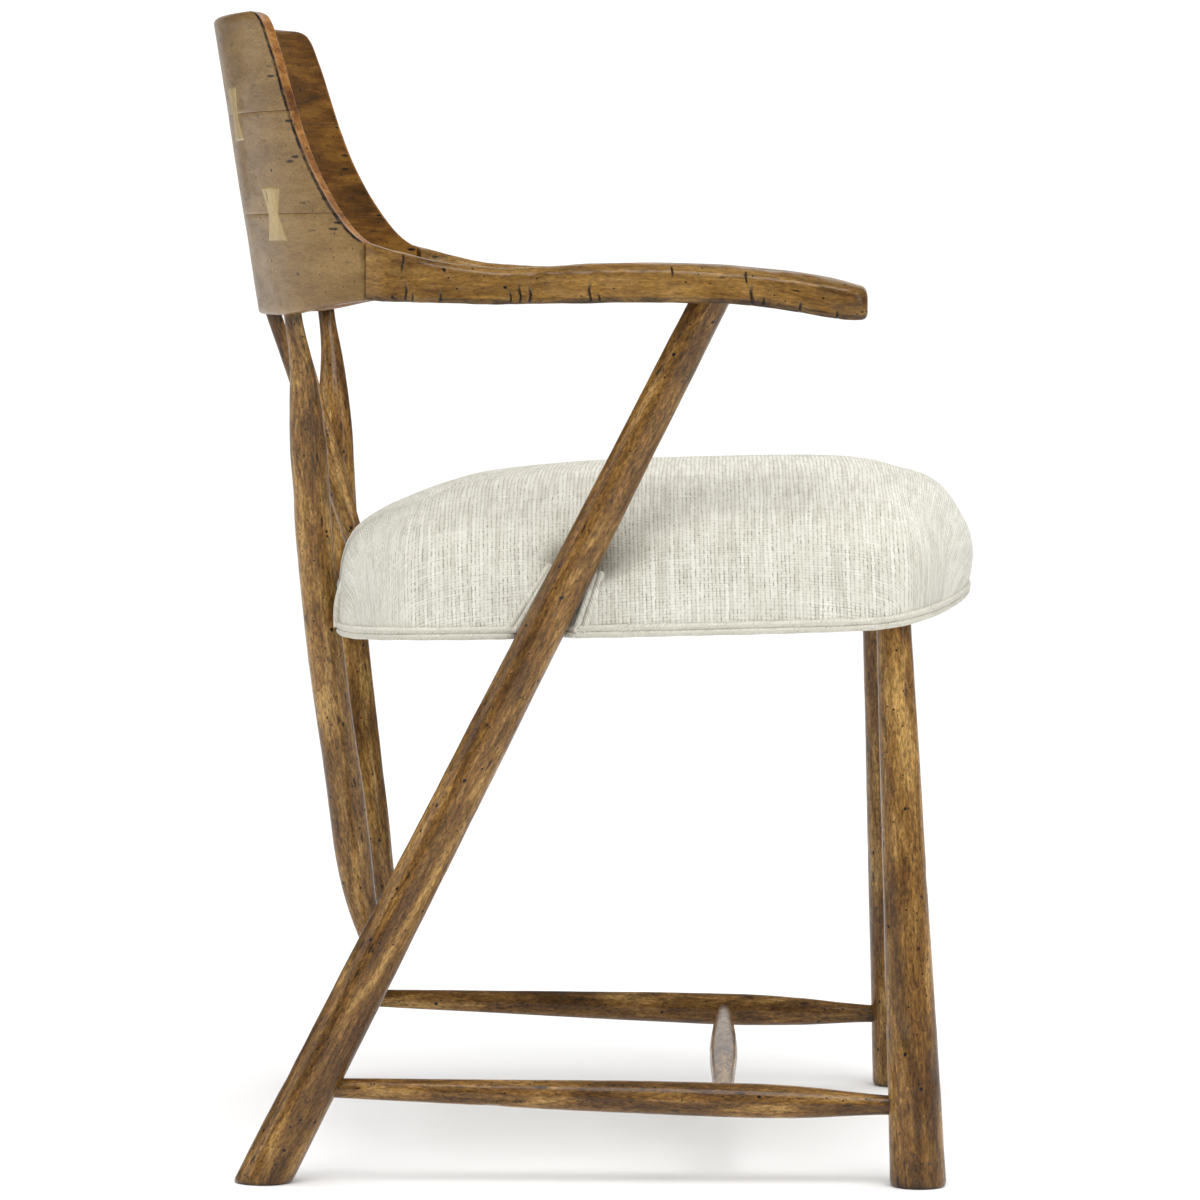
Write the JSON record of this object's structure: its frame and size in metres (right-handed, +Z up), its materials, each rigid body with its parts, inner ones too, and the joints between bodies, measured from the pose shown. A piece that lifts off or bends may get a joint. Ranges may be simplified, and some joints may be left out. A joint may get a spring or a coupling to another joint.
{
  "type": "armchair",
  "caption": "Wooden armchair with a tall curved barrel back that sweeps into the arms, slanted tapered legs, thin back spindles, low stretchers and a thick linen seat.",
  "frame": {"origin": "on the floor, midway between the sides and midway between the seat's front edge and the back's rearmost point", "axes": "+Z up, the sitter faces -Y, the sitter's right hand is on -X"},
  "size_m": [0.5822, 0.5689, 0.838],
  "materials": {
    "arm_wood": "golden brown, worm-holed, satin lacquer",
    "back_wood": "greyed brown, worm-holed, satin lacquer",
    "turned_wood": "golden brown, dented, satin lacquer",
    "key_wood": "pale inlay, satin lacquer",
    "frame_wood": "plain planed timber",
    "linen": "undyed slubby basket-weave linen",
    "foam": "seat foam",
    "webbing": "jute webbing",
    "dust_cloth": "black cambric",
    "steel": "zinc plated"
  },
  "bodies": {
    "root": {"right_arm": "arm_wood", "left_arm": "arm_wood", "back_lower_tier": "back_wood", "back_middle_tier": "back_wood", "back_crest": "back_wood", "right_diagonal_leg": "turned_wood", "left_diagonal_leg": "turned_wood", "right_front_leg": "turned_wood", "left_front_leg": "turned_wood", "right_side_stretcher": "turned_wood", "left_side_stretcher": "turned_wood", "cross_stretcher": "turned_wood", "rear_stretcher": "turned_wood", "right_back_post": "turned_wood", "left_back_post": "turned_wood", "right_back_spindle": "turned_wood", "left_back_spindle": "turned_wood", "butterfly_keys": "key_wood", "seat_front_rail": "frame_wood", "seat_rear_rail": "frame_wood", "seat_right_rail": "frame_wood", "seat_left_rail": "frame_wood", "seat_corner_blocks": "frame_wood", "tier_dowels": "frame_wood", "arm_dowels": "frame_wood", "seat_cover": "linen", "seat_welt": "linen", "seat_foam": "foam", "webbing_lengthwise": "webbing", "webbing_crosswise": "webbing", "dust_cover": "dust_cloth", "corner_block_screws": "steel", "rail_bolts": "steel"}
  },
  "joints": []
}
